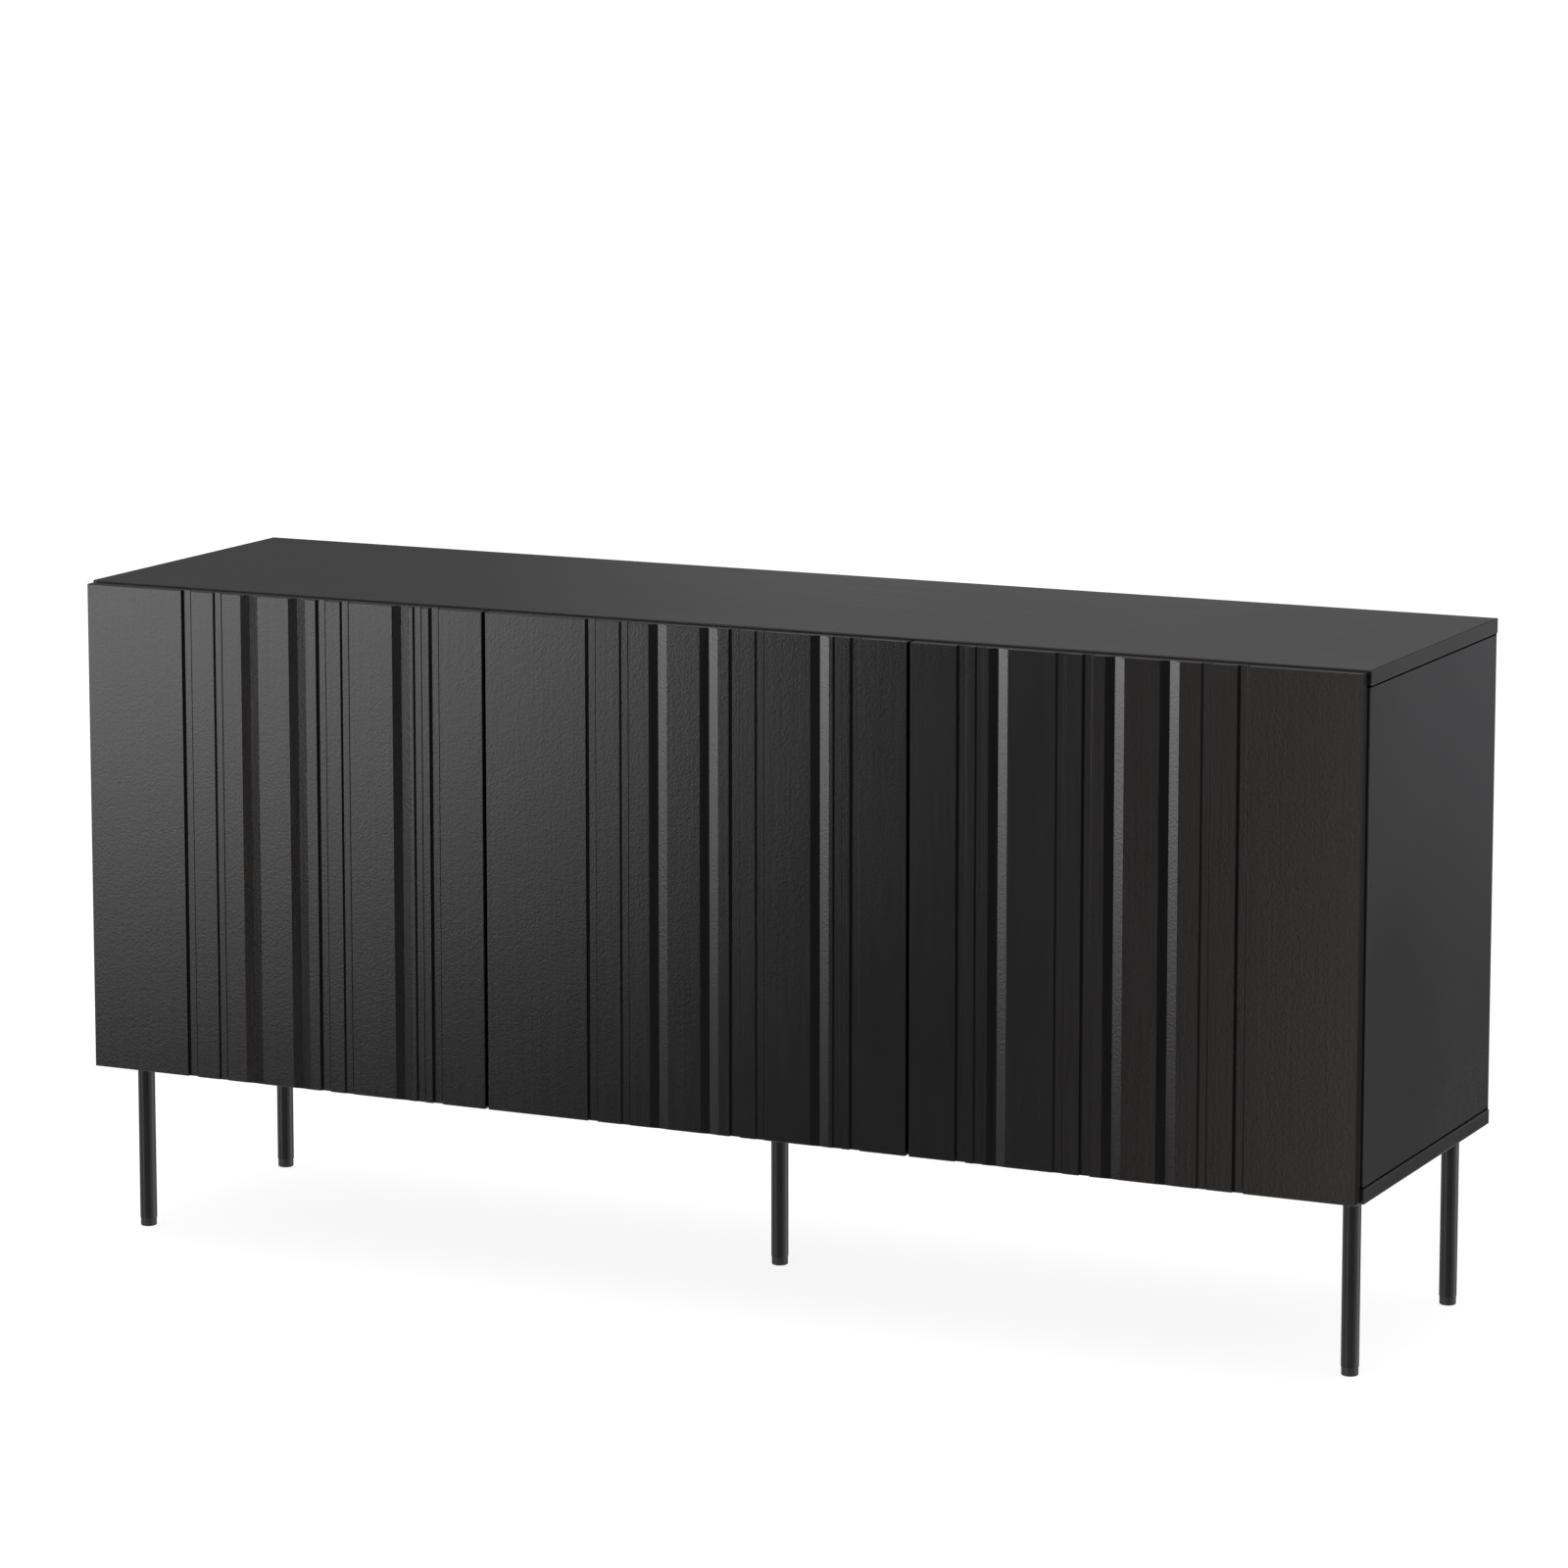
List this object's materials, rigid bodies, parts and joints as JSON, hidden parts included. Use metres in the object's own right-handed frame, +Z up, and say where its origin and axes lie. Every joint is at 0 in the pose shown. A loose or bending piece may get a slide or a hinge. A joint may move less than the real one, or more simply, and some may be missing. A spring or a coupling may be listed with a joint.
{
  "type": "sideboard buffet",
  "caption": "Long low sideboard with push-to-open doors milled with vertical channels and valleys, adjustable shelves, and thin round legs with levelling glides.",
  "frame": {"origin": "on the floor, under the middle of the overall width and of the overall depth with the doors shut", "axes": "+X to the right along the width, +Y to the back, +Z up; the doors face -Y"},
  "size_m": [1.5, 0.412, 0.742],
  "materials": {
    "carcass_board": "matt black foil on board",
    "door_front": "satin black lacquer on milled board",
    "back_board": "matt black painted hardboard",
    "leg_metal": "satin black powder coat",
    "glide_plastic": "black moulded plastic",
    "nickel_steel": "nickel-plated steel",
    "zinc_steel": "zinc-plated",
    "black_screw": "black zinc plating",
    "beech_dowel": "raw beech",
    "latch_plastic": "dark grey moulded plastic",
    "plunger_plastic": "grey moulded plastic"
  },
  "bodies": {
    "carcass": {"top_panel": "carcass_board", "bottom_panel": "carcass_board", "left_side_panel": "carcass_board", "left_partition": "carcass_board", "right_partition": "carcass_board", "right_side_panel": "carcass_board", "left_back_panel": "back_board", "middle_back_panel": "back_board", "right_back_panel": "back_board", "back_panel_screws": "black_screw", "left_shelf": "carcass_board", "middle_shelf": "carcass_board", "right_shelf": "carcass_board", "shelf_pins": "nickel_steel", "wooden_dowels": "beech_dowel", "cam_bolts": "zinc_steel", "cam_locks": "zinc_steel", "leg_insert_nuts": "zinc_steel", "leg_end_plugs": "glide_plastic", "front_left_leg": "leg_metal", "front_right_leg": "leg_metal", "middle_leg": "leg_metal", "back_left_leg": "leg_metal", "back_right_leg": "leg_metal", "hinge_mounting_plates": "nickel_steel", "hinge_plate_screws": "nickel_steel", "hinge_arm_pins": "nickel_steel", "latch_screws": "nickel_steel", "left_hinge_arms": "nickel_steel", "left_latch_housing": "latch_plastic", "middle_hinge_arms": "nickel_steel", "middle_latch_housing": "latch_plastic", "right_hinge_arms": "nickel_steel", "right_latch_housing": "latch_plastic"},
    "left_hinge_links": {"left_hinge_links": "nickel_steel"},
    "left_door": {"left_door": "door_front", "left_hinge_cups": "nickel_steel", "left_cup_screws": "nickel_steel", "left_cup_pins": "nickel_steel", "left_strike_plate": "nickel_steel"},
    "left_latch_plunger": {"left_latch_plunger": "plunger_plastic"},
    "middle_hinge_links": {"middle_hinge_links": "nickel_steel"},
    "middle_door": {"middle_door": "door_front", "middle_hinge_cups": "nickel_steel", "middle_cup_screws": "nickel_steel", "middle_cup_pins": "nickel_steel", "middle_strike_plate": "nickel_steel"},
    "middle_latch_plunger": {"middle_latch_plunger": "plunger_plastic"},
    "right_hinge_links": {"right_hinge_links": "nickel_steel"},
    "right_door": {"right_door": "door_front", "right_hinge_cups": "nickel_steel", "right_cup_screws": "nickel_steel", "right_cup_pins": "nickel_steel", "right_strike_plate": "nickel_steel"},
    "right_latch_plunger": {"right_latch_plunger": "plunger_plastic"},
    "front_left_glide": {"front_left_glide": "glide_plastic"},
    "front_right_glide": {"front_right_glide": "glide_plastic"},
    "middle_glide": {"middle_glide": "glide_plastic"},
    "back_left_glide": {"back_left_glide": "glide_plastic"},
    "back_right_glide": {"back_right_glide": "glide_plastic"}
  },
  "joints": [
    {"name": "left_link_turn", "type": "hinge", "parent": "carcass", "child": "left_hinge_links", "pos_m": [-0.7129, -0.188, 0.4675], "axis": [0, 0, -1], "range_deg": [-25.49, 0]},
    {"name": "left_door_swing", "type": "hinge", "parent": "left_hinge_links", "child": "left_door", "pos_m": [-0.7371, -0.1953, 0.4675], "axis": [0, 0, -1], "range_deg": [0, 123.48]},
    {"name": "left_plunger_slide", "type": "slide", "parent": "carcass", "child": "left_latch_plunger", "axis": [0, -1, 0], "range_m": [0, 0.02]},
    {"name": "middle_link_turn", "type": "hinge", "parent": "carcass", "child": "middle_hinge_links", "pos_m": [-0.2139, -0.188, 0.4675], "axis": [0, 0, -1], "range_deg": [-25.49, 0]},
    {"name": "middle_door_swing", "type": "hinge", "parent": "middle_hinge_links", "child": "middle_door", "pos_m": [-0.2381, -0.1953, 0.4675], "axis": [0, 0, -1], "range_deg": [0, 123.48]},
    {"name": "middle_plunger_slide", "type": "slide", "parent": "carcass", "child": "middle_latch_plunger", "axis": [0, -1, 0], "range_m": [0, 0.02]},
    {"name": "right_link_turn", "type": "hinge", "parent": "carcass", "child": "right_hinge_links", "pos_m": [0.7129, -0.188, 0.4675], "axis": [0, 0, 1], "range_deg": [-25.49, 0]},
    {"name": "right_door_swing", "type": "hinge", "parent": "right_hinge_links", "child": "right_door", "pos_m": [0.7371, -0.1953, 0.4675], "axis": [0, 0, 1], "range_deg": [0, 123.48]},
    {"name": "right_plunger_slide", "type": "slide", "parent": "carcass", "child": "right_latch_plunger", "axis": [0, -1, 0], "range_m": [0, 0.02]},
    {"name": "front_left_glide_level", "type": "slide", "parent": "carcass", "child": "front_left_glide", "axis": [0, 0, -1], "range_m": [0, 0.008]},
    {"name": "front_right_glide_level", "type": "slide", "parent": "carcass", "child": "front_right_glide", "axis": [0, 0, -1], "range_m": [0, 0.008]},
    {"name": "middle_glide_level", "type": "slide", "parent": "carcass", "child": "middle_glide", "axis": [0, 0, -1], "range_m": [0, 0.008]},
    {"name": "back_left_glide_level", "type": "slide", "parent": "carcass", "child": "back_left_glide", "axis": [0, 0, -1], "range_m": [0, 0.008]},
    {"name": "back_right_glide_level", "type": "slide", "parent": "carcass", "child": "back_right_glide", "axis": [0, 0, -1], "range_m": [0, 0.008]}
  ],
  "couplings": [
    {"joint": "left_link_turn", "follows": "left_door_swing", "ratio": -0.20635},
    {"joint": "left_plunger_slide", "follows": "left_door_swing", "m_per_rad": 0.00928},
    {"joint": "middle_link_turn", "follows": "middle_door_swing", "ratio": -0.20635},
    {"joint": "middle_plunger_slide", "follows": "middle_door_swing", "m_per_rad": 0.00928},
    {"joint": "right_link_turn", "follows": "right_door_swing", "ratio": -0.20635},
    {"joint": "right_plunger_slide", "follows": "right_door_swing", "m_per_rad": 0.00928}
  ]
}
